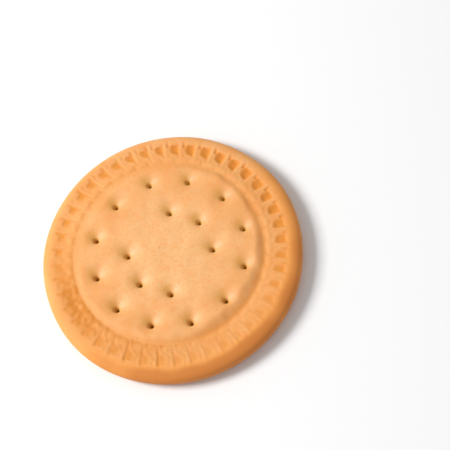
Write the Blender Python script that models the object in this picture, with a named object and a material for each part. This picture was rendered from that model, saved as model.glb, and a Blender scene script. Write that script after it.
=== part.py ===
# Round docked tea biscuit: a flat disc of baked dough with a rounded edge, a raised middle
# pricked with docker holes, and a running key border pressed in between the two.
# Metres, +Z up. The origin is the middle of the underside.

import math

import bmesh
import bpy
from mathutils import Vector
from mathutils.geometry import delaunay_2d_cdt

MM = 0.001

# The whole disc
DIAMETER = 65.0 * MM
WIDEST_HEIGHT = 2.9 * MM
BASE_FLAT_RADIUS = 30.2 * MM
RIM_CROWN_RADIUS = 30.1 * MM
RIM_CROWN_HEIGHT = 5.4 * MM
STAMP_OFFSET = Vector((-0.30 * MM, -0.05 * MM))

# The raised middle
PANEL_HEIGHT = 5.9 * MM
PANEL_SHOULDER_RADIUS = 22.7 * MM
PANEL_FOOT_RADIUS = 24.2 * MM

# The docker holes: a full outer ring, and an inner ring of eight with two left out
OUTER_HOLES = 12
OUTER_RING_RADIUS = 19.1 * MM
OUTER_RING_START = math.radians(106.5)
INNER_HOLES = 8
INNER_RING_RADIUS = 10.65 * MM
INNER_RING_START = math.radians(91.5)
INNER_RING_GAPS = (1, 5)
HOLE_MOUTH_RADIUS = 0.72 * MM
HOLE_FLOOR_RADIUS = 0.5 * MM
HOLE_DEPTH = 2.6 * MM
DIMPLE_DEPTH = 0.6 * MM
DIMPLE_RADIUS = 1.7 * MM

# The key border
KEY_UNITS = 44
KEY_START = math.radians(83.4)
KEY_INNER_RADIUS = 24.4 * MM
KEY_OUTER_RADIUS = 29.3 * MM
KEY_CREST_HEIGHT = 5.3 * MM
GROOVE_DEPTH = 0.35 * MM
GROOVE_HALF_WIDTH = 0.3 * MM
RECESS_DEPTH = 0.45 * MM

# How finely the surfaces are cut
SIDE_SEGMENTS = 132
BASE_SEGMENTS = 88
HOLE_SIDES = 10
DIMPLE_RINGS = (1.25 * MM, 2.0 * MM, 3.0 * MM)
PANEL_POINT_SPACING = 2.1 * MM
TOP_EDGE_STEPS = 4
BOTTOM_EDGE_STEPS = 3

# Where each border unit has its columns (shares of its width, clockwise) and its rows
# (shares of its depth, outward)
KEY_COLUMNS = (0.0, 0.13, 0.38, 0.64, 0.76, 0.92)
KEY_ROWS = (0.0, 0.08, 0.2, 0.36, 0.52, 0.7, 0.88, 1.0)

# Sunk lines of one unit, as (column, row) points of the border's own share scale
KEY_GROOVE = ((0.0, 0.93), (0.0, 0.2), (0.14, 0.08), (0.55, 0.07))
KEY_SLANT = ((0.16, 0.52), (0.5, 0.33))
RECESS_CENTRE = (0.64, 0.78)
RECESS_REACH = (0.34, 0.34)

CRUST_COLOUR = (0.80, 0.42, 0.15, 1.0)
CRUST_ROUGHNESS = 0.62


def clear_scene():
    for existing in list(bpy.data.objects):
        bpy.data.objects.remove(existing, do_unlink=True)


def smooth_step(low, high, value):
    share = min(max((value - low) / (high - low), 0.0), 1.0)
    return share * share * (3.0 - 2.0 * share)


def polar(radius, angle):
    return Vector((radius * math.cos(angle), radius * math.sin(angle)))


def hole_centres():
    """Centres of the docker holes, measured from the stamp's own middle."""
    centres = []
    for index in range(OUTER_HOLES):
        angle = OUTER_RING_START - index * math.tau / OUTER_HOLES
        centres.append(polar(OUTER_RING_RADIUS, angle))
    for index in range(INNER_HOLES):
        if index % INNER_HOLES in INNER_RING_GAPS:
            continue
        angle = INNER_RING_START + index * math.tau / INNER_HOLES
        centres.append(polar(INNER_RING_RADIUS, angle))
    return centres


def panel_height(point, holes):
    """Height of the raised middle, dimpled softly towards each hole."""
    nearest = min((point - hole).length for hole in holes)
    dimple = DIMPLE_DEPTH * math.exp(-((nearest / DIMPLE_RADIUS) ** 2))
    step = smooth_step(PANEL_SHOULDER_RADIUS, PANEL_FOOT_RADIUS, point.length)
    return PANEL_HEIGHT - dimple - step * (PANEL_HEIGHT - KEY_CREST_HEIGHT)


def distance_to_line(column, row, line):
    """Shortest distance, in metres, from a place in a unit to a bent line in it."""
    width = math.tau * 0.5 * (KEY_INNER_RADIUS + KEY_OUTER_RADIUS) / KEY_UNITS
    depth = KEY_OUTER_RADIUS - KEY_INNER_RADIUS
    place = Vector((column * width, row * depth))
    best = math.inf
    for (column_a, row_a), (column_b, row_b) in zip(line, line[1:]):
        start = Vector((column_a * width, row_a * depth))
        end = Vector((column_b * width, row_b * depth))
        along = (place - start).dot(end - start) / (end - start).length_squared
        foot = start + (end - start) * min(max(along, 0.0), 1.0)
        best = min(best, (place - foot).length)
    return best


def key_depth(column, row):
    """How far the border is pressed in at a place of one unit."""
    hook = distance_to_line(column, row, KEY_GROOVE)
    slant = distance_to_line(column, row, KEY_SLANT)
    groove = GROOVE_DEPTH * (1.0 - smooth_step(0.0, 2.0 * GROOVE_HALF_WIDTH, min(hook, slant)))
    across = (column - RECESS_CENTRE[0]) / RECESS_REACH[0]
    outward = (row - RECESS_CENTRE[1]) / RECESS_REACH[1]
    recess = RECESS_DEPTH * (1.0 - smooth_step(0.0, 1.0, math.hypot(across, outward)))
    on_rib = smooth_step(0.66, 0.76, column) * (1.0 - smooth_step(0.92, 1.0, column))
    return max(groove, recess * (1.0 - on_rib))


def add_ring(bm, places):
    """One closed ring of vertices, from (point, height) pairs."""
    return [bm.verts.new((point.x, point.y, height)) for point, height in places]


def key_ring(bm, row):
    """A ring through the border at one share of its depth, with the key pressed in."""
    radius = KEY_INNER_RADIUS + row * (KEY_OUTER_RADIUS - KEY_INNER_RADIUS)
    places = []
    for unit in range(KEY_UNITS):
        for column in KEY_COLUMNS:
            angle = KEY_START - (unit + column) * math.tau / KEY_UNITS
            pressed = 0.0 if row in (0.0, 1.0) else key_depth(column, row)
            places.append((polar(radius, angle) + STAMP_OFFSET, KEY_CREST_HEIGHT - pressed))
    return add_ring(bm, places)


def plain_ring(bm, radius, height, segments, centre):
    step = math.tau / segments
    return add_ring(bm, [(polar(radius, -i * step) + centre, height) for i in range(segments)])


def turn_of(vertex):
    """Clockwise angle of a vertex about the middle, from 0 up to a full turn."""
    return math.atan2(-vertex.co.y, vertex.co.x) % math.tau


def stitch(bm, inner, outer):
    """Triangles between two closed clockwise rings, which may differ in count."""
    inner_start = min(range(len(inner)), key=lambda i: turn_of(inner[i]))
    outer_start = min(range(len(outer)), key=lambda i: turn_of(outer[i]))
    inner = inner[inner_start:] + inner[:inner_start]
    outer = outer[outer_start:] + outer[:outer_start]
    inner_turns = [turn_of(vertex) for vertex in inner] + [turn_of(inner[0]) + math.tau]
    outer_turns = [turn_of(vertex) for vertex in outer] + [turn_of(outer[0]) + math.tau]
    i = 0
    o = 0
    while i < len(inner) or o < len(outer):
        inner_here = inner[i % len(inner)]
        outer_here = outer[o % len(outer)]
        inner_next = i < len(inner) and (
            o == len(outer) or inner_turns[i + 1] <= outer_turns[o + 1]
        )
        if inner_next:
            bm.faces.new((inner_here, outer_here, inner[(i + 1) % len(inner)]))
            i += 1
        else:
            bm.faces.new((inner_here, outer_here, outer[(o + 1) % len(outer)]))
            o += 1


def bridge(bm, inner, outer):
    """Quads between two clockwise rings of the same count."""
    for i in range(len(inner)):
        j = (i + 1) % len(inner)
        bm.faces.new((inner[i], outer[i], outer[j], inner[j]))


def add_panel(bm, edge, holes):
    """The raised middle inside its edge ring: a net of points with a blind hole at each prick."""
    points = [vertex.co.xy - STAMP_OFFSET for vertex in edge]
    heights = [vertex.co.z for vertex in edge]
    for hole in holes:
        mouth = panel_height(hole + Vector((HOLE_MOUTH_RADIUS, 0.0)), holes)
        rings = [(HOLE_FLOOR_RADIUS, mouth - HOLE_DEPTH), (HOLE_MOUTH_RADIUS, mouth)]
        rings += [(radius, None) for radius in DIMPLE_RINGS]
        points.append(hole)
        heights.append(mouth - HOLE_DEPTH)
        for number, (radius, height) in enumerate(rings):
            for side in range(HOLE_SIDES):
                turn = (side + 0.5 * (number % 2)) * math.tau / HOLE_SIDES
                point = hole + polar(radius, turn)
                points.append(point)
                heights.append(panel_height(point, holes) if height is None else height)
    rows = int(PANEL_SHOULDER_RADIUS / PANEL_POINT_SPACING) + 2
    for row in range(-rows, rows + 1):
        for place in range(-rows, rows + 1):
            x = (place + 0.5 * (row % 2)) * PANEL_POINT_SPACING
            point = Vector((x, row * PANEL_POINT_SPACING * math.sqrt(0.75)))
            clear_of_holes = min((point - hole).length for hole in holes) - DIMPLE_RINGS[-1]
            clear_of_edge = points[0].length - point.length
            if min(clear_of_holes, clear_of_edge) > 0.4 * PANEL_POINT_SPACING:
                points.append(point)
                heights.append(panel_height(point, holes))
    # Worked in millimetres, where the net's own tolerance is small against the points' spacing
    net = delaunay_2d_cdt([point / MM for point in points], [], [], 0, 1e-5)
    vertices = list(edge)
    for point, height in zip(points[len(edge):], heights[len(edge):]):
        vertices.append(bm.verts.new((*(point + STAMP_OFFSET), height)))
    for face in net[2]:
        bm.faces.new([vertices[net[3][corner][0]] for corner in face])


def edge_arc(start_radius, start_height, end_radius, end_height, steps, leaves_flat):
    """Points after the start of a quarter oval from one (radius, height) to another."""
    places = []
    for step in range(1, steps + 1):
        turn = 0.5 * math.pi * step / steps
        out = math.sin(turn) if leaves_flat else 1.0 - math.cos(turn)
        along = 1.0 - math.cos(turn) if leaves_flat else math.sin(turn)
        radius = start_radius + (end_radius - start_radius) * out
        places.append((radius, start_height + (end_height - start_height) * along))
    return places


def build_biscuit():
    holes = hole_centres()
    middle = Vector((0.0, 0.0))
    bm = bmesh.new()

    # The panel's edge, its step down and the key border
    shoulder = plain_ring(bm, PANEL_SHOULDER_RADIUS, PANEL_HEIGHT, SIDE_SEGMENTS, STAMP_OFFSET)
    for vertex in shoulder:
        vertex.co.z = panel_height(vertex.co.xy - STAMP_OFFSET, holes)
    add_panel(bm, shoulder, holes)
    key_rings = [key_ring(bm, row) for row in KEY_ROWS]
    stitch(bm, shoulder, key_rings[0])
    for inner, outer in zip(key_rings, key_rings[1:]):
        bridge(bm, inner, outer)

    # The rim rolls over to the widest level and in again to the flat underside
    crown = plain_ring(bm, RIM_CROWN_RADIUS, RIM_CROWN_HEIGHT, SIDE_SEGMENTS, middle)
    stitch(bm, key_rings[-1], crown)
    last = crown
    widest = (0.5 * DIAMETER, WIDEST_HEIGHT)
    upper = edge_arc(RIM_CROWN_RADIUS, RIM_CROWN_HEIGHT, *widest, TOP_EDGE_STEPS, True)
    for radius, height in upper:
        ring = plain_ring(bm, radius, height, SIDE_SEGMENTS, middle)
        bridge(bm, last, ring)
        last = ring
    lower = edge_arc(*widest, BASE_FLAT_RADIUS, 0.0, BOTTOM_EDGE_STEPS, False)
    for radius, height in lower:
        ring = plain_ring(bm, radius, height, BASE_SEGMENTS, middle)
        stitch(bm, last, ring)
        last = ring
    bm.faces.new(last)

    bmesh.ops.recalc_face_normals(bm, faces=bm.faces)
    mesh = bpy.data.meshes.new("biscuit")
    bm.to_mesh(mesh)
    bm.free()
    mesh.shade_smooth()
    mesh.set_sharp_from_angle(angle=math.radians(50))
    biscuit = bpy.data.objects.new("biscuit", mesh)
    bpy.context.collection.objects.link(biscuit)
    return biscuit


def crust_material():
    material = bpy.data.materials.new("baked crust")
    material.use_nodes = True
    shader = material.node_tree.nodes["Principled BSDF"]
    shader.inputs["Base Color"].default_value = CRUST_COLOUR
    shader.inputs["Roughness"].default_value = CRUST_ROUGHNESS
    shader.inputs["Metallic"].default_value = 0.0
    return material


clear_scene()
biscuit = build_biscuit()
biscuit.data.materials.append(crust_material())
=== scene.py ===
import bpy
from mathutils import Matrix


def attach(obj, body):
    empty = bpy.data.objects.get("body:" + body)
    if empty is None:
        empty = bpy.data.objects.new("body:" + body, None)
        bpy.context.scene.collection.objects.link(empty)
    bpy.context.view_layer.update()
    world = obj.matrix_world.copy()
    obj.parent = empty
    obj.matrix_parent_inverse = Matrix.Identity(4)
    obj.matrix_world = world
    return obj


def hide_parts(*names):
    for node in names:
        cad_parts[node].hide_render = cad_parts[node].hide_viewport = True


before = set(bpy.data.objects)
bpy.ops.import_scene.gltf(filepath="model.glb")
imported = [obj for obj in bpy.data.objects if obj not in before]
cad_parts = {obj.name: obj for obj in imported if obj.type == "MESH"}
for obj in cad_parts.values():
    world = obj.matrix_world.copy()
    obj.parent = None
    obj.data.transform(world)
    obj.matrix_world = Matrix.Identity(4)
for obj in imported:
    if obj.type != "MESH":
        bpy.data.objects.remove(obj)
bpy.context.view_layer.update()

import math

import bpy
import numpy as np
from mathutils import Matrix, Vector

mm = 0.001
turn = 2 * math.pi
scene = bpy.context.scene

# Sizes are in millimetres and angles in degrees. A table such as the panel's shoulder runs by angle,
# clockwise from +Y. Ripples and hills are rows of height, size of their features, and seed.

# The raised panel and its pricks
panel = {
    "height": 5.87,
    "radius": 23.0,                    # the skin is a disc to here, and rings beyond
    # where its edge starts to fall, where its foot is, and how far it falls to the border
    "shoulder": {0: 22.0, 20: 22.2, 40: 22.2, 60: 21.8, 80: 21.6, 100: 21.2, 120: 20.5, 140: 20.4,
                 160: 21.0, 200: 21.3, 225: 21.6, 240: 22.2, 260: 21.7, 280: 20.9, 320: 21.4},
    "foot": {0: 24.0, 20: 23.9, 40: 23.85, 60: 23.6, 80: 23.8, 100: 24.1, 120: 24.15, 140: 24.0,
             160: 24.1, 180: 23.95, 200: 23.85, 220: 23.75, 240: 24.2, 260: 24.1, 280: 23.9,
             320: 23.75},
    "drop": {0: 0.48, 20: 0.42, 40: 0.46, 60: 0.54, 80: 0.70, 100: 1.00, 120: 1.18, 140: 1.15,
             160: 0.95, 175: 0.65, 200: 0.42, 225: 0.28, 250: 0.30, 280: 0.35, 340: 0.42},
    "shoulderRipples": ((0.35, 14.0, 6),),
    "footRipples": ((0.13, 9.0, 5), (0.09, 4.0, 7)),
    "pillows": ((0.06, 8.0, 3), (0.021, 3.2, 4)),
    "pricksAside": (0.28, -0.33),      # the pricks sit off the border's middle by this
    "astray": (0.10, 41),              # and each of them by up to this much more; seed
    "outerPricks": (12, 19.1, 106.5),  # count, ring radius, angle of the first
    "innerPricks": (8, 10.65, 91.5),
    "innerGaps": (1, 5),               # two pricks that the inner ring leaves out
    # the soft hollow beside a prick, its funnel and its hole: depth, reach, and how far aside
    "dimples": ((0.70, 2.25, (0.28, 1.05)), (0.32, 1.00, (0.10, 0.35)), (1.9, 0.52, (0.0, 0.0))),
    "deeper": (-0.006, -0.014),        # how much deeper they get for each millimetre in X and Y
}

# The running key border. A unit is read clockwise from its long groove, in shares of its
# width and of the border's width outwards; each place along a groove has its own depth.
border = {
    "aside": (-0.45, 0.60),            # the border sits off the outline's middle by this
    "units": 44,
    "startAngle": 3.96,                # where a long groove lies
    "innerRadius": 24.0,
    "outerRadius": 29.15,
    "crestHeight": 5.06,
    "comesLevel": (23.5, 28.5),        # between these radii it comes level after the panel's step
    "pressedFrom": (-0.4, 0.1),        # round the panel's foot, where the pressing starts
    "innerRoll": (0.08, 25.0, 0.65),   # height, radius and reach of the roll at its inner edge
    "grooveReach": 0.42,
    "longGroove": ((0.0, 0.97, 0.30), (0.0, 0.66, 0.20), (0.02, 0.30, 0.11), (0.12, 0.06, 0.12),
                   (0.34, -0.04, 0.12), (0.58, -0.01, 0.12), (0.72, 0.12, 0.14)),
    "hookGroove": ((0.74, -0.04, 0.18), (0.76, 0.24, 0.10), (0.64, 0.38, 0.12), (0.42, 0.50, 0.14),
                   (0.22, 0.68, 0.08)),
    "notch": ((0.26, 1.12, 0.04), (0.33, 1.0, 0.12), (0.38, 0.90, 0.30)),
    # soft ribs and pads: height, the two ends of its crest, and reach in millimetres
    "pads": ((0.08, (0.17, 0.10), (0.17, 1.18), 0.62), (0.07, (0.46, 0.74), (0.48, 0.92), 0.60),
             (0.10, (0.44, 0.60), (0.74, 0.38), 0.75), (0.07, (0.24, 0.20), (0.52, 0.20), 0.75)),
    # how far out the units lie, in millimetres, how far they drift, in degrees, and how far
    # their inner ends lean, as a share of their width
    "further": {0: 0.10, 40: 0.0, 60: 0.1, 75: 0.28, 95: 0.28, 120: 0.1, 178: 0.0, 224: 0.0,
                262: 0.2, 300: 0.3, 340: 0.3},
    "drift": {0: 0.0, 37: 1.1, 78: 2.0, 105: 1.5, 140: 1.0, 176: 0.3, 185: 0.5, 219: 1.5,
              250: 1.5, 300: 0.9, 340: 0.5},
    "lean": {0: 0.15, 25: 0.02, 80: 0.0, 150: 0.05, 185: 0.12, 220: 0.08, 300: 0.1, 345: 0.2},
    "outwardRipples": ((0.10, 17.0, 12),),
    "strayRipples": ((0.045, 23.0, 11),),
    # how strongly the grooves and the pads are pressed
    "lines": {0: 0.40, 30: 0.3, 60: 0.3, 80: 0.25, 95: 0.25, 125: 0.3, 140: 0.22, 165: 0.3,
              176: 0.45, 188: 0.52, 214: 0.55, 224: 0.45, 234: 0.35, 250: 0.3, 262: 0.35,
              285: 0.42, 340: 0.45},
    "lineRipples": ((0.3, 11.0, 13),),
    "swells": {0: 1.0, 70: 1.0, 100: 0.8, 170: 0.8, 215: 0.7, 235: 0.3, 265: 0.55, 300: 0.75},
    # where it is smudged: angle and its reach, radius and its reach, and depth
    "smudge": ((243, 8.5), (25.9, 1.5), 0.26),
}

# The pocket in each unit, between the rim and the next long groove. A wall is given by where
# it starts and ends.
pocket = {
    "depth": 0.44,
    "strength": {0: 0.65, 12: 0.9, 60: 0.9, 78: 0.65, 90: 0.45, 105: 0.3, 125: 0.15, 150: 0.12,
                 178: 0.15, 214: 0.2, 226: 0.12, 240: 0.05, 256: 0.08, 275: 0.22, 300: 0.25,
                 345: 0.4},
    "ripples": ((0.25, 13.0, 14),),
    "rise": 1.8,                       # its floor slopes down from the left over this width,
    "brownRise": 1.3,                  # and its browning grows over this one
    "left": (0.33, -0.3),              # they start at this share of the unit, and this much on
    "rightWall": (-0.40, 0.26),        # from the next long groove
    "outerWall": (-0.42, 0.12),        # from its top, a share of the border's width
    "top": {0: 0.95, 10: 0.99, 224: 0.99, 255: 0.90, 300: 0.85, 345: 0.88},
    "innerWall": (0.34, 0.62),         # shares of the border's width
    "pad": (0.30, 1.35, 1.30),         # an oval pad runs up into it: its share, and its two reaches
    "padLevel": {0: 0.24, 75: 0.24, 105: 0.3, 160: 0.2, 185: 0.08, 220: 0.10, 235: 0.2,
                 262: 0.26, 300: 0.22, 340: 0.24},
    "padWall": (0.75, 1.35),           # shares of the pad's reaches
}

# The edge, from the border out over the rim and under
edge = {
    "radius": 32.5,
    "widestHeight": 2.9,
    "crownRadius": 29.4,
    "crownHeight": 5.10,
    "crownRise": 1.0,                  # the rise to it starts this far inside the border's rim
    "baseRadius": 30.4,
    "squareness": 0.83,                # 1 rounds the rim as a plain oval, less makes it fuller
    "patternEnds": (29.4, 31.0),       # the pressed pattern runs out between these radii
    "unevenness": ((0.10, 4.0, 21),),
    "unevenRing": 5.0,                 # the unevenness is read round a circle this big
    "centred": (29.4, 32.2),           # beyond these radii it stays centred on the outline
    "centredBelow": (0.3, 2.0),        # and so does what lies below these heights
}

# How finely the skin is cut
detail = {
    "gridCells": 144,                  # eight times this is the count round the border
    "baseCells": 48,
    "bandRows": 34,
    "sideRows": 13,
    "underRows": 6,
    "fineReaches": (1.9, 1.0),         # round each prick the skin is cut finer, twice
}

# Where the crust is browner or paler than its own colour, and where shade, light and highlights are
# painted on it
marks = {
    "face": (2.5, 3.2),                # above these heights the crust counts as the face
    "footSoftness": 0.2,               # how softly the border's browning starts at the foot,
    "overrun": 0.3,                    # and how far past the border it goes
    "pressedDepth": 0.11,              # pressed this deep, the crust is fully ochre: partly browning, partly painted shade in the grooves
    "browned": {0: 0.65, 15: 0.85, 70: 0.85, 85: 0.65, 100: 0.35, 125: 0.12, 178: 0.15, 225: 0.25,
                240: 0.1, 256: 0.25, 275: 0.55, 300: 0.7, 345: 0.6},
    "outside": (22.0, 25.0),           # beyond these radii it is deeper in colour,
    "pale": {0: 1.0, 35: 0.8, 60: 0.0, 300: 0.0, 335: 0.7},
    "paintedLightRadii": (25.0, 30.5),         # save where painted light keeps it pale, beyond these ones
    "stepDrops": (0.2, 0.75),          # how far the panel has to fall before painted shade is laid at its foot
    "stepBand": (0.6, 0.8),            # how far inside the foot, and its reach
    # browner round the smudge at the lower left, and darker towards the bottom edge, where it is painted
    # shade
    "smudgeAndShade": {0: 0.05, 40: 0.0, 150: 0.05, 180: 0.25, 200: 0.4, 222: 0.55, 232: 1.0, 250: 1.0,
               262: 0.5, 290: 0.1},
    "smudgeAndShadeMean": 0.9,
    "smudgeAndShadeHills": ((0.45, 1.9, 8),),
    "smudgeAndShadeRadii": ((23.6, 24.5), (27.2, 30.0)),
    "shadedFlanks": ((-0.9, 1.0), 1.5),      # painted shade: which side of each prick is laid darker, and its reach
    "paintedHighlights": ((1.3, 1.1), 1.1),         # and painted highlight: which side is laid creamy
    "holeReach": 0.55,
    "holeHeights": (1.5, 2.5),         # below these heights no hole is marked
    "middle": (6.0, 22.0),             # between these radii the pale middle fades out
    # painted shade on the edge turned away from the light: how dark it is, and between which radii; a
    # dark place reaches further in
    "toast": {0: 0.0, 20: 0.1, 40: 0.25, 60: 0.6, 80: 0.8, 115: 0.95, 140: 1.2, 165: 1.1,
              195: 1.0, 212: 0.7, 230: 0.35, 250: 0.25, 300: 0.25, 335: 0.05},
    "toastRipples": ((0.12, 15.0, 31),),
    "toastRadii": (28.6, 31.4),
    "toastReach": 0.6,
}


def smoothStep(low, high, value):
    share = np.clip((value - low) / (high - low), 0.0, 1.0)
    return share * share * (3.0 - 2.0 * share)


def waves(x, y, size, seed):
    # smooth unevenness, about -1 to 1, with features of the given size
    count = 14
    draw = np.random.default_rng(seed)
    total = np.zeros_like(x)
    for index in range(count):
        heading = draw.uniform(0, turn)
        length = size * draw.uniform(0.7, 1.7)
        along = x * math.cos(heading) + y * math.sin(heading)
        total += np.sin(along * turn / length + draw.uniform(0, turn))
    return total / math.sqrt(2 * count)


def hills(x, y, rows):
    return sum(height * waves(x, y, size, seed) for height, size, seed in rows)


def ripples(degrees, rows):
    # hills round the biscuit, with the size of their features in degrees
    angle = np.radians(degrees)
    ring = 57.3                        # round a circle this big, a degree is one long
    return hills(ring * np.sin(angle), ring * np.cos(angle), rows)


def byAngle(table, degrees):
    angles = sorted(table)
    values = [table[angle] for angle in angles]
    return np.interp(degrees % 360, angles + [360], values + values[:1])


def prickCentres():
    asideX, asideY = panel["pricksAside"]
    most, seed = panel["astray"]
    draw = np.random.default_rng(seed)
    places = []
    for ring, gaps, way in (("outerPricks", (), -1), ("innerPricks", panel["innerGaps"], 1)):
        count, radius, first = panel[ring]
        for index in range(count):
            if index not in gaps:
                angle = math.radians(first + way * index * 360 / count)
                astray = draw.uniform(-most, most, 2)
                places.append((asideX + radius * math.cos(angle) + astray[0],
                               asideY + radius * math.sin(angle) + astray[1]))
    return places


def toNearestPrick(x, y, aside=(0.0, 0.0)):
    gaps = [np.hypot(x - prickX - aside[0], y - prickY - aside[1]) for prickX, prickY in prickCentres()]
    return np.min(gaps, axis=0)


def unitPlaces(x, y):
    # where points lie in their border unit and in its neighbours, in millimetres
    degrees = np.degrees(np.arctan2(x, y))
    depth = border["outerRadius"] - border["innerRadius"]
    width = turn * (border["outerRadius"] + border["innerRadius"]) / 2 / border["units"]
    outward = np.hypot(x, y) - border["innerRadius"] - byAngle(border["further"], degrees)
    outward = outward + ripples(degrees, border["outwardRipples"])
    place = degrees - border["startAngle"] - byAngle(border["drift"], degrees)
    place = place * border["units"] / 360
    place = place - byAngle(border["lean"], degrees) * (1 - outward / depth)
    place = place + ripples(degrees, border["strayRipples"])
    across = (place - np.floor(place)) * width
    return degrees, [across + width, across, across - width], outward, width, depth


def alongLine(across, outward, start, end):
    # how far points are from a straight line, and which share of it they lie beside
    runX, runY = end[0] - start[0], end[1] - start[1]
    share = ((across - start[0]) * runX + (outward - start[1]) * runY) / (runX ** 2 + runY ** 2)
    share = np.clip(share, 0, 1)
    return np.hypot(across - start[0] - share * runX, outward - start[1] - share * runY), share


def cornersCut(line):
    # the same bent line, with its corners rounded by cutting them twice
    for _ in range(2):
        cut = [line[0]]
        for start, end in zip(line, line[1:]):
            cut += [0.75 * start + 0.25 * end, 0.25 * start + 0.75 * end]
        line = cut + [line[-1]]
    return line


def pocketShare(x, y, rise):
    # how far inside its pocket a point lies, 0 to 1, growing over the given width from its left
    degrees, places, outward, width, depth = unitPlaces(x, y)
    padShare, padWide, padTall = pocket["pad"]
    level = byAngle(pocket["padLevel"], degrees)
    top = byAngle(pocket["top"], degrees) * depth
    leftShare, leftStart = pocket["left"]
    inside = np.zeros_like(outward)
    for across in places:
        oval = np.hypot((across - padShare * width) / padWide, (outward - level * depth) / padTall)
        here = smoothStep(*pocket["padWall"], oval) * smoothStep(*pocket["innerWall"], outward / depth)
        here = here * smoothStep(leftStart, rise, across - leftShare * width)
        here = here * (1 - smoothStep(*pocket["rightWall"], across - width))
        here = here * (1 - smoothStep(*pocket["outerWall"], outward - top))
        inside = np.maximum(inside, here)
    return inside


def keyPress(x, y):
    # how deep the border's pattern is pressed
    degrees, places, outward, width, depth = unitPlaces(x, y)
    scale = np.array((width, depth, 1))
    pocketStrength = byAngle(pocket["strength"], degrees)
    deepness = pocketStrength * (1 + ripples(degrees, pocket["ripples"]))
    pressed = pocket["depth"] * deepness * pocketShare(x, y, pocket["rise"])
    lineStrength = byAngle(border["lines"], degrees)
    varied = 1 + ripples(degrees, border["lineRipples"])
    for name, strength in (("longGroove", lineStrength), ("hookGroove", lineStrength),
                           ("notch", pocketStrength)):
        groove = cornersCut([scale * place for place in border[name]])
        for across in places:
            for start, end in zip(groove, groove[1:]):
                gap, share = alongLine(across, outward, start, end)
                deep = strength * varied * (start[2] + (end[2] - start[2]) * share)
                pressed = np.maximum(pressed, deep * np.exp(-(gap / border["grooveReach"]) ** 2))
    swells = np.zeros_like(outward)
    for across in places:
        for height, start, end, reach in border["pads"]:
            gap, _ = alongLine(across, outward, start * scale[:2], end * scale[:2])
            swells = np.maximum(swells, height * np.exp(-(gap / reach) ** 2))
    return pressed - swells * byAngle(border["swells"], degrees)


def smudge(x, y):
    (angle, angleReach), (radius, reach), depth = border["smudge"]
    across = (np.degrees(np.arctan2(x, y)) - angle + 180) % 360 - 180
    return depth * np.exp(-(across / angleReach) ** 2 - ((np.hypot(x, y) - radius) / reach) ** 2)


def topHeight(x, y):
    # height of the stamped face, from a place measured from the border's middle
    radius = np.hypot(x, y)
    degrees = np.degrees(np.arctan2(x, y))
    middle = panel["height"] + hills(x, y, panel["pillows"])
    deepness = 1 + panel["deeper"][0] * x + panel["deeper"][1] * y
    for depth, reach, aside in panel["dimples"]:
        middle = middle - depth * deepness * np.exp(-(toNearestPrick(x, y, aside) / reach) ** 2)
    crown = smoothStep(border["outerRadius"] - edge["crownRise"], edge["crownRadius"], radius)
    band = border["crestHeight"] + crown * (edge["crownHeight"] - border["crestHeight"])
    shoulder = byAngle(panel["shoulder"], degrees) + ripples(degrees, panel["shoulderRipples"])
    foot = byAngle(panel["foot"], degrees) + ripples(degrees, panel["footRipples"])
    # the border starts as far down as the panel falls, and comes level towards the rim
    start = panel["height"] - byAngle(panel["drop"], degrees)
    band = start + (band - start) * smoothStep(*border["comesLevel"], radius)
    height, rollRadius, reach = border["innerRoll"]
    band = band + height * np.exp(-((radius - rollRadius) / reach) ** 2)
    band = band - smudge(x, y)
    before, after = border["pressedFrom"]
    band = band - keyPress(x, y) * smoothStep(foot + before, foot + after, radius)
    return middle + smoothStep(shoulder, foot, radius) * (band - middle)


def sideHeight(x, y, height):
    # the pattern runs out over the rim
    return height - keyPress(x, y) * (1 - smoothStep(*edge["patternEnds"], np.hypot(x, y)))


def deselectAll():
    if bpy.context.mode != "OBJECT":
        bpy.ops.object.mode_set(mode="OBJECT")
    bpy.ops.object.select_all(action="DESELECT")


def readPoints(piece):
    flat = np.empty(len(piece.data.vertices) * 3, np.float32)
    piece.data.vertices.foreach_get("co", flat)
    return flat.reshape(-1, 3).astype(float) / mm


def writePoints(piece, points):
    piece.data.vertices.foreach_set("co", (points * mm).astype(np.float32).ravel())
    piece.data.update()


def writeMask(piece, name, values):
    mask = piece.data.attributes.new(name, "FLOAT", "POINT")
    mask.data.foreach_set("value", np.clip(values, 0, 1).astype(np.float32))


def discFromGrid(name, cells, radius):
    # a square grid pressed out into a disc, so its cells are alike from middle to edge
    deselectAll()
    bpy.ops.mesh.primitive_grid_add(x_subdivisions=cells, y_subdivisions=cells,
                                    size=2 * radius * mm)
    disc = bpy.context.object
    disc.name = name
    points = readPoints(disc)
    x, y = points[:, 0].copy(), points[:, 1].copy()
    wide = np.abs(x) >= np.abs(y)
    long = np.where(wide, x, y)
    short = np.where(wide, y, x)
    angle = turn / 8 * short / np.where(long == 0, 1, long)
    points[:, 0] = long * np.where(wide, np.cos(angle), np.sin(angle))
    points[:, 1] = long * np.where(wide, np.sin(angle), np.cos(angle))
    points[:, 2] = 0
    writePoints(disc, points)
    return disc


def selectOpenEdge(piece):
    bpy.context.view_layer.objects.active = piece
    bpy.ops.object.mode_set(mode="EDIT")
    bpy.ops.mesh.select_mode(type="EDGE")
    bpy.ops.mesh.select_all(action="DESELECT")
    bpy.ops.mesh.select_non_manifold(use_wire=False, use_multi_face=False,
                                     use_non_contiguous=False, use_verts=False)


def growRings(piece, places):
    # the open edge is extruded ring by ring through (radius, height) places; it stands at the first
    selectOpenEdge(piece)
    for (radius, height), (nextRadius, nextHeight) in zip(places, places[1:]):
        bpy.ops.mesh.extrude_edges_move()
        share = nextRadius / radius
        bpy.ops.transform.resize(value=(share, share, 1), center_override=(0, 0, 0))
        bpy.ops.transform.translate(value=(0, 0, (nextHeight - height) * mm))
    bpy.ops.object.mode_set(mode="OBJECT")


def levelRings(start, end, rows):
    return [(start + (end - start) * row / rows, 0) for row in range(rows + 1)]


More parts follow.
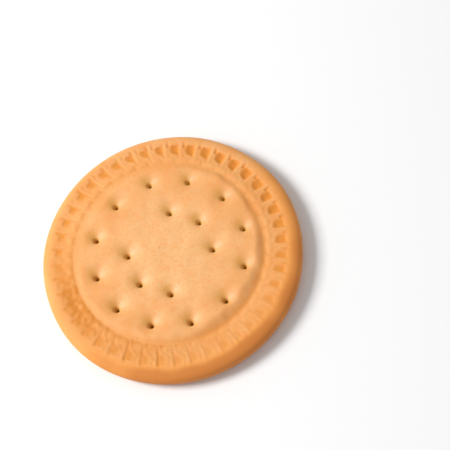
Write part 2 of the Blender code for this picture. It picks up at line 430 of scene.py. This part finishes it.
def curvedRings(start, end, rows, curve):
    # rings between two (radius, height) places, along a curve that turns by a quarter
    places = []
    for row in range(rows + 1):
        out, down = curve(turn / 4 * row / rows)
        places.append((start[0] + (end[0] - start[0]) * out, start[1] + (end[1] - start[1]) * down))
    return places


def rimCurve(angle):
    # an oval, a little squared
    return math.sin(angle) ** edge["squareness"], 1 - abs(math.cos(angle)) ** edge["squareness"]


def underCurve(angle):
    return 1 - math.cos(angle), math.sin(angle)


def cutFinerRoundPricks(piece, reach):
    middles = np.empty(len(piece.data.polygons) * 3, np.float32)
    piece.data.polygons.foreach_get("center", middles)
    middles = middles.reshape(-1, 3) / mm
    bpy.context.view_layer.objects.active = piece
    bpy.ops.object.mode_set(mode="EDIT")
    bpy.ops.mesh.select_mode(type="FACE")
    bpy.ops.mesh.select_all(action="DESELECT")
    bpy.ops.object.mode_set(mode="OBJECT")
    piece.data.polygons.foreach_set("select", toNearestPrick(middles[:, 0], middles[:, 1]) < reach)
    bpy.ops.object.mode_set(mode="EDIT")
    bpy.ops.mesh.subdivide(number_cuts=1)
    bpy.ops.object.mode_set(mode="OBJECT")


def buildTop(widest):
    top = discFromGrid("biscuit.skin", detail["gridCells"], panel["radius"])
    for reach in detail["fineReaches"]:
        cutFinerRoundPricks(top, reach)
    selectOpenEdge(top)
    bpy.ops.mesh.subdivide(number_cuts=1)
    growRings(top, levelRings(panel["radius"], edge["crownRadius"], detail["bandRows"]))
    faceCount = len(top.data.vertices)
    crown = (edge["crownRadius"], edge["crownHeight"])
    growRings(top, curvedRings(crown, widest, detail["sideRows"], rimCurve))
    points = readPoints(top)
    x, y, height = points.T
    onFace = np.arange(len(points)) < faceCount
    side = sideHeight(x, y, height + edge["crownHeight"])
    points[:, 2] = np.where(onFace, topHeight(x, y), side)
    writePoints(top, points)
    return top


def buildBase(widest):
    base = discFromGrid("biscuit.base", detail["baseCells"], edge["baseRadius"])
    places = curvedRings(widest, (edge["baseRadius"], 0), detail["underRows"], underCurve)
    growRings(base, places[:0:-1])
    return base


def joinAtWidest(top, base):
    deselectAll()
    base.select_set(True)
    top.select_set(True)
    bpy.context.view_layer.objects.active = top
    bpy.ops.object.join()
    selectOpenEdge(top)
    bpy.ops.mesh.bridge_edge_loops()
    bpy.ops.mesh.select_all(action="SELECT")
    bpy.ops.mesh.normals_make_consistent(inside=False)
    bpy.ops.object.mode_set(mode="OBJECT")


def markCrust(skin):
    # masks for the crust, while the border's middle is still the origin
    x, y, height = readPoints(skin).T
    face = smoothStep(*marks["face"], height)
    radius = np.hypot(x, y)
    degrees = np.degrees(np.arctan2(x, y))
    foot = byAngle(panel["foot"], degrees)

    onBorder = face * smoothStep(foot - marks["footSoftness"], foot + marks["footSoftness"], radius)
    onBorder = onBorder * (radius < border["outerRadius"] + marks["overrun"])
    browned = pocketShare(x, y, pocket["brownRise"]) * byAngle(marks["browned"], degrees)
    writeMask(skin, "pocket", onBorder * browned)
    # the grooves' ochre grows with their depth: partly browning, partly painted shade
    writeMask(skin, "pressed", onBorder * keyPress(x, y) / marks["pressedDepth"])

    # pale is painted light: the rim is laid paler round its top
    pale = byAngle(marks["pale"], degrees) * smoothStep(*marks["paintedLightRadii"], radius)
    writeMask(skin, "outside", smoothStep(*marks["outside"], radius) * (1 - pale))
    writeMask(skin, "middle", face * (1 - smoothStep(*marks["middle"], radius)))

    # painted shade at the panel's foot, where its step falls far
    stepShade = smoothStep(*marks["stepDrops"], byAngle(panel["drop"], degrees))
    inside, reach = marks["stepBand"]
    writeMask(skin, "foot", face * stepShade * np.exp(-((radius - foot + inside) / reach) ** 2))

    # browner round the smudge, and painted shade further round towards the bottom edge
    inner, outer = marks["smudgeAndShadeRadii"]
    smudgeAndShade = byAngle(marks["smudgeAndShade"], degrees)
    smudgeAndShade = smudgeAndShade * (marks["smudgeAndShadeMean"] + hills(x, y, marks["smudgeAndShadeHills"]))
    smudgeAndShade = smudgeAndShade * smoothStep(*inner, radius) * (1 - smoothStep(*outer, radius))
    writeMask(skin, "smudgeAndShade", face * smudgeAndShade)

    # painted shade on the side of each prick away from the light, and painted highlight on the side
    # facing it
    for name in ("shadedFlanks", "paintedHighlights"):
        aside, reach = marks[name]
        writeMask(skin, name, face * np.exp(-(toNearestPrick(x, y, aside) / reach) ** 2))
    # partly painted shade: the crust is laid darker and browner deep in each hole
    hole = np.exp(-(toNearestPrick(x, y) / marks["holeReach"]) ** 2)
    writeMask(skin, "hole", hole * smoothStep(*marks["holeHeights"], height))

    # painted shade on the edge, darkest on the side turned away from the light
    start, end = marks["toastRadii"]
    toast = byAngle(marks["toast"], degrees) + ripples(degrees, marks["toastRipples"])
    writeMask(skin, "toasted", toast * smoothStep(start - marks["toastReach"] * toast, end, radius))


def settle(skin):
    # the border sits off the outline's middle, and the edge is a little uneven
    points = readPoints(skin)
    x, y, height = points.T
    clockwise = np.arctan2(x, y)
    outer = smoothStep(*edge["centred"], np.hypot(x, y))
    inset = (1 - outer) * smoothStep(*edge["centredBelow"], height)
    points[:, 0] += border["aside"][0] * inset
    points[:, 1] += border["aside"][1] * inset
    ring = edge["unevenRing"]
    uneven = hills(ring * np.sin(clockwise), ring * np.cos(clockwise), edge["unevenness"])
    points[:, :2] *= (1 + outer * uneven / edge["radius"])[:, None]
    writePoints(skin, points)


def buildBiscuit():
    widest = (edge["radius"], edge["widestHeight"])
    skin = buildTop(widest)
    joinAtWidest(skin, buildBase(widest))
    markCrust(skin)
    settle(skin)
    bpy.ops.object.shade_smooth()
    return skin


biscuit = buildBiscuit()
biscuit.data.calc_loop_triangles()
print("biscuit skin:", len(biscuit.data.loop_triangles), "triangles")
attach(biscuit, "root")
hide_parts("biscuit")


# Materials: a socket wrapper lets the shader sums read as sums
class Socket:
    def __init__(self, graph, output):
        self.graph = graph
        self.output = output

    def maths(self, operation, other, swap=False):
        pair = (other, self) if swap else (self, other)
        return self.graph.add("ShaderNodeMath", {"operation": operation}, {0: pair[0], 1: pair[1]})

    def __add__(self, other):
        return self.maths("ADD", other)

    def __radd__(self, other):
        return self.maths("ADD", other, True)

    def __sub__(self, other):
        return self.maths("SUBTRACT", other)

    def __rsub__(self, other):
        return self.maths("SUBTRACT", other, True)

    def __mul__(self, other):
        return self.maths("MULTIPLY", other)

    def __rmul__(self, other):
        return self.maths("MULTIPLY", other, True)


class Graph:
    def __init__(self, material):
        material.use_nodes = True
        self.tree = material.node_tree
        self.shader = self.tree.nodes["Principled BSDF"].inputs

    def add(self, kind, settings=None, values=None, output=0):
        node = self.tree.nodes.new(kind)
        for name, value in (settings or {}).items():
            setattr(node, name, value)
        for name, value in (values or {}).items():
            self.link(value, node.inputs[name])
        return Socket(self, node.outputs[output])

    def link(self, value, target):
        if isinstance(value, Socket):
            self.tree.links.new(value.output, target)
        else:
            target.default_value = value

    def mixColour(self, share, first, second):
        return self.add("ShaderNodeMix", {"data_type": "RGBA"}, {0: share, 6: first, 7: second}, 2)

    def between(self, value, low, high, most=1.0):
        # 0 below the low value, rising smoothly to the most above the high one
        return self.add("ShaderNodeMapRange", {"interpolation_type": "SMOOTHSTEP"},
                        {0: value, 1: low, 2: high, 3: 0.0, 4: most})

    def mask(self, name):
        return self.add("ShaderNodeAttribute", {"attribute_name": name}, output="Fac")

    def noise(self, place, size, layers, rough):
        # noise with features of about the given size in millimetres
        return self.add("ShaderNodeTexNoise", {}, {"Vector": place, "Scale": 1 / (size * mm),
                                                  "Detail": layers, "Roughness": rough})


crust = {
    "golden": (0.775, 0.352, 0.112, 1),
    "yellower": (0.80, 0.405, 0.15, 1),
    "pale": (0.83, 0.495, 0.225, 1),
    # painted shade and painted highlight for the two sides of each prick
    "flankShade": (0.70, 0.34, 0.065, 1),
    "highlightCream": (0.80, 0.48, 0.25, 1),
    "amber": (0.79, 0.318, 0.066, 1),
    "ochre": (0.72, 0.25, 0.024, 1),
    "tan": (0.60, 0.205, 0.014, 1),
    "blush": (0.80, 0.305, 0.09, 1),
    "orange": (0.57, 0.175, 0.022, 1),
    # partly painted shade for deep in the holes
    "holeShadeBrown": (0.54, 0.33, 0.03, 1),
    "speckBrown": (0.55, 0.20, 0.03, 1),
    # patterns: size of their features, layers, and how rough they are
    "patterns": {"cloud": (7.0, 3.0, 0.5), "blotch": (3.0, 3.0, 0.65), "mottle": (1.3, 3.0, 0.6),
                 "fleck": (0.6, 2.0, 0.6), "grain": (0.22, 3.0, 0.6)},
    "clouding": (0.35, 0.65),
    # masks laid under the patterns: the most that each covers, and its colour
    "under": (("middle", 0.65, "pale"), ("outside", 0.32, "amber")),
    # then patterns and the edge's painted shade: from and to which value, the most, and its colour
    "browning": (("blotch", 0.45, 0.75, 0.4, "blush"), ("mottle", 0.45, 0.8, 0.4, "amber"),
                 ("fleck", 0.48, 0.78, 0.75, "amber"), ("grain", 0.5, 0.75, 0.5, "amber"),
                 ("toasted", 0.0, 0.7, 1.0, "amber"), ("toasted", 0.45, 1.1, 0.85, "orange")),
    # and masks laid over them: the pockets' browning, the grooves' ochre that is partly painted shade,
    # painted shade at the panel's foot, the smudge's browning with painted shade towards the bottom
    # edge, painted shade and painted highlight on the two sides of each prick, and partly painted shade
    # in the holes
    "over": (("pocket", 1.0, "ochre"), ("pressed", 0.8, "ochre"), ("foot", 0.5, "ochre"),
             ("smudgeAndShade", 1.0, "tan"), ("shadedFlanks", 0.8, "flankShade"), ("paintedHighlights", 0.6, "highlightCream"),
             ("hole", 1.0, "holeShadeBrown")),
    # specks lie in some cells of this size: how wide they are, which cells, and how strong
    "speckCells": 2.1,
    "speckWidth": (0.03, 0.09),
    "speckChance": (0.45, 0.5),
    "speckShare": 0.7,
    "roughness": 0.50,
    "grainRoughness": 0.16,            # how much rougher it is in the grain, and outside
    "outsideRoughness": 0.14,
    "shine": 0.45,
    "bumpHeight": 0.10,
    "bumpStrength": 0.5,
    "grainBumps": 0.5,
    "mottleBumps": 0.6,
    "glow": 0.30,                      # how much light goes into the crumb and out again, and
    "glowReach": 1.0,                  # how far, in all and for red, green and blue
    "glowShares": (1.0, 0.5, 0.25),
}


def speckMask(graph, place):
    cells = {"Vector": place, "Scale": 1 / (crust["speckCells"] * mm)}
    chance = graph.add("ShaderNodeTexVoronoi", {}, cells, "Color")
    away = graph.add("ShaderNodeTexVoronoi", {}, cells, "Distance")
    return (1 - graph.between(away, *crust["speckWidth"])) * graph.between(chance, *crust["speckChance"])


def crustMaterial():
    material = bpy.data.materials.new("baked crust")
    graph = Graph(material)
    place = graph.add("ShaderNodeTexCoord", output="Object")
    patterns = {name: graph.noise(place, *values) for name, values in crust["patterns"].items()}
    # the edge's painted shade goes in with the patterns
    patterns["toasted"] = graph.mask("toasted")

    clouded = graph.between(patterns["cloud"], *crust["clouding"])
    tone = graph.mixColour(clouded, crust["golden"], crust["yellower"])
    for name, most, colour in crust["under"]:
        tone = graph.mixColour(graph.mask(name) * most, tone, crust[colour])
    for name, low, high, most, colour in crust["browning"]:
        tone = graph.mixColour(graph.between(patterns[name], low, high, most), tone, crust[colour])
    for name, most, colour in crust["over"]:
        tone = graph.mixColour(graph.mask(name) * most, tone, crust[colour])
    tone = graph.mixColour(speckMask(graph, place) * crust["speckShare"], tone, crust["speckBrown"])
    graph.link(tone, graph.shader["Base Color"])

    rough = crust["roughness"] + crust["grainRoughness"] * patterns["grain"]
    rough = rough + crust["outsideRoughness"] * graph.mask("outside")
    graph.link(rough, graph.shader["Roughness"])
    graph.link(crust["shine"], graph.shader["Specular IOR Level"])
    graph.link(crust["glow"], graph.shader["Subsurface Weight"])
    graph.link(crust["glowReach"] * mm, graph.shader["Subsurface Scale"])
    graph.link(crust["glowShares"], graph.shader["Subsurface Radius"])

    bumps = patterns["grain"] * crust["grainBumps"] + patterns["mottle"] * crust["mottleBumps"]
    normal = graph.add("ShaderNodeBump", {}, {"Strength": crust["bumpStrength"], "Height": bumps,
                                             "Distance": crust["bumpHeight"] * mm})
    graph.link(normal, graph.shader["Normal"])
    return material


biscuit.data.materials.clear()
biscuit.data.materials.append(crustMaterial())
print("crust material made")


# The set: floor, light and camera
studio = {
    "floorColour": (0.86, 0.86, 0.86, 1),
    "floorRoughness": 0.9,
    "floorMetres": 4.0,
    "keyPower": 6.6,                   # watts; its size and distance are in metres
    "keySize": 0.30,
    "keyElevation": 45,
    "keyAzimuth": 270,                 # where it stands, clockwise from +Y
    "keyDistance": 0.8,
    "skyStrength": 0.50,
}

view = {
    "aim": (13.56, 7.0, 5.3),          # where the picture's middle falls, in millimetres
    "distance": 492.8,
    "azimuth": 20.73,
    "elevation": 66.51,
    "lens": 160,
    "nearest": 10,                     # nothing nearer to the camera than this is shown
}


def makeFloor():
    deselectAll()
    bpy.ops.mesh.primitive_plane_add(size=studio["floorMetres"])
    floor = bpy.context.object
    floor.name = "floor"
    material = bpy.data.materials.new("pale floor")
    graph = Graph(material)
    graph.link(studio["floorColour"], graph.shader["Base Color"])
    graph.link(studio["floorRoughness"], graph.shader["Roughness"])
    floor.data.materials.append(material)


def makeLights():
    azimuth = math.radians(studio["keyAzimuth"])
    elevation = math.radians(studio["keyElevation"])
    level = math.cos(elevation)
    towards = Vector((math.sin(azimuth) * level, math.cos(azimuth) * level, math.sin(elevation)))
    bpy.ops.object.light_add(type="AREA", location=towards * studio["keyDistance"])
    key = bpy.context.object
    key.name = "key light"
    key.rotation_euler = towards.to_track_quat("Z", "Y").to_euler()
    key.data.size = studio["keySize"]
    key.data.energy = studio["keyPower"]
    world = bpy.data.worlds.new("studio")
    world.use_nodes = True
    background = world.node_tree.nodes["Background"]
    background.inputs["Color"].default_value = (1, 1, 1, 1)
    background.inputs["Strength"].default_value = studio["skyStrength"]
    scene.world = world
    scene.view_settings.view_transform = "Standard"


def makeCamera():
    # the camera stands back from its aim, turned so that +Y runs straight up the picture
    azimuth = math.radians(view["azimuth"])
    elevation = math.radians(view["elevation"])
    level = math.cos(elevation)
    back = Vector((math.sin(azimuth) * level, -math.cos(azimuth) * level, math.sin(elevation)))
    right = Vector((0, 1, 0)).cross(back).normalized()
    up = back.cross(right)
    bpy.ops.object.camera_add()
    camera = bpy.context.object
    camera.data.lens = view["lens"]
    camera.data.clip_start = view["nearest"] * mm
    place = (Vector(view["aim"]) + back * view["distance"]) * mm
    turned = Matrix((right, up, back)).transposed().to_4x4()
    camera.matrix_world = Matrix.Translation(place) @ turned
    scene.camera = camera


makeFloor()
makeLights()
makeCamera()
print("floor, lights and camera placed")
